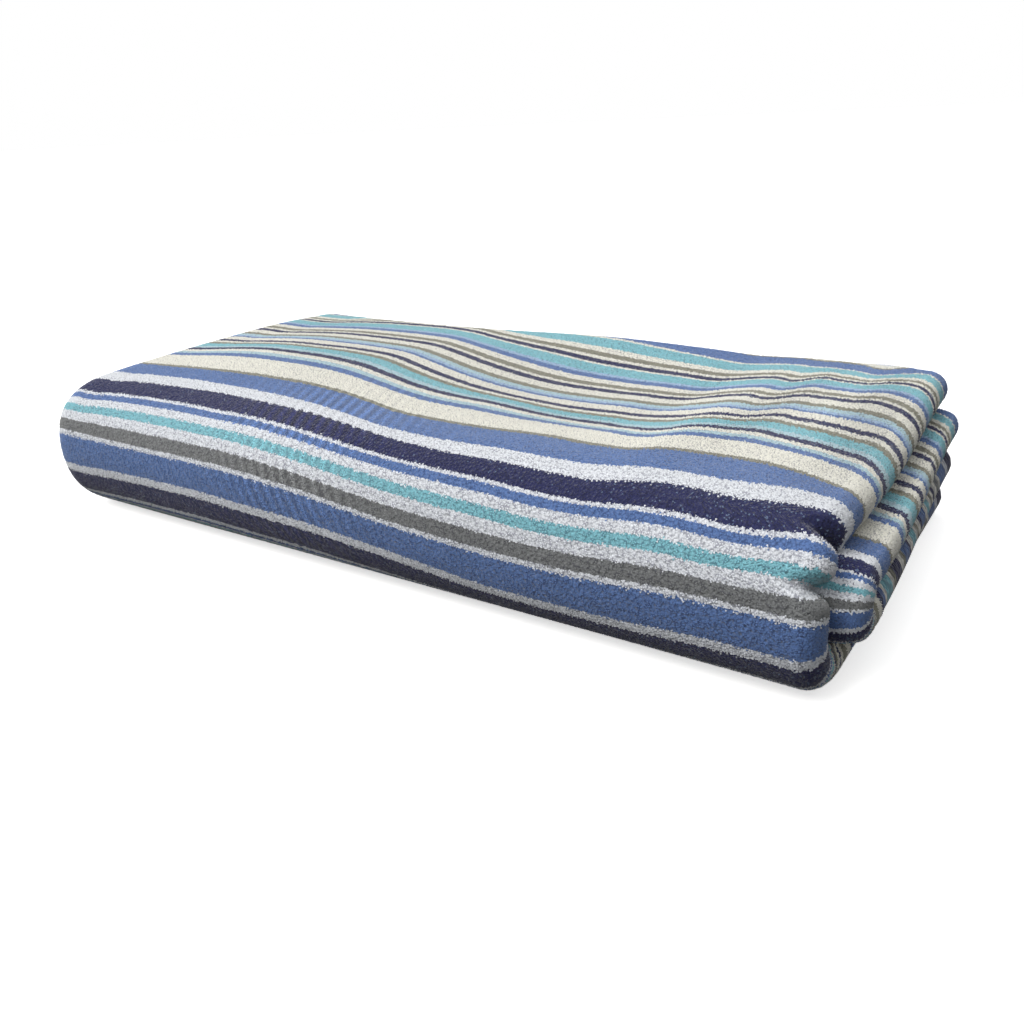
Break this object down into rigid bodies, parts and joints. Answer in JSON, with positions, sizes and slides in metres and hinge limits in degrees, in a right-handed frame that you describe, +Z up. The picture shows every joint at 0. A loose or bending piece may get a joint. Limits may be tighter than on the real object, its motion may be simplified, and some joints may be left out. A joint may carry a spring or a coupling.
{
  "type": "folded bath towel",
  "caption": "Striped terry bath towel folded into a flat bundle, with its last fold along the front and rounded rolls at its right end.",
  "frame": {"origin": "centre of the bundle's bounding box, on the surface it rests on", "axes": "+X along the stripes and the long side, towards the end with the rounded rolls; +Y away from the smooth front fold, towards the loose edges at the back; +Z up out of the surface"},
  "size_m": [0.3664, 0.1834, 0.0653],
  "materials": {
    "terry_cloth": "striped cotton terry with a short looped pile: navy, blue, turquoise and grey on white and cream"
  },
  "bodies": {
    "root": {"towel": "terry_cloth"}
  },
  "joints": []
}
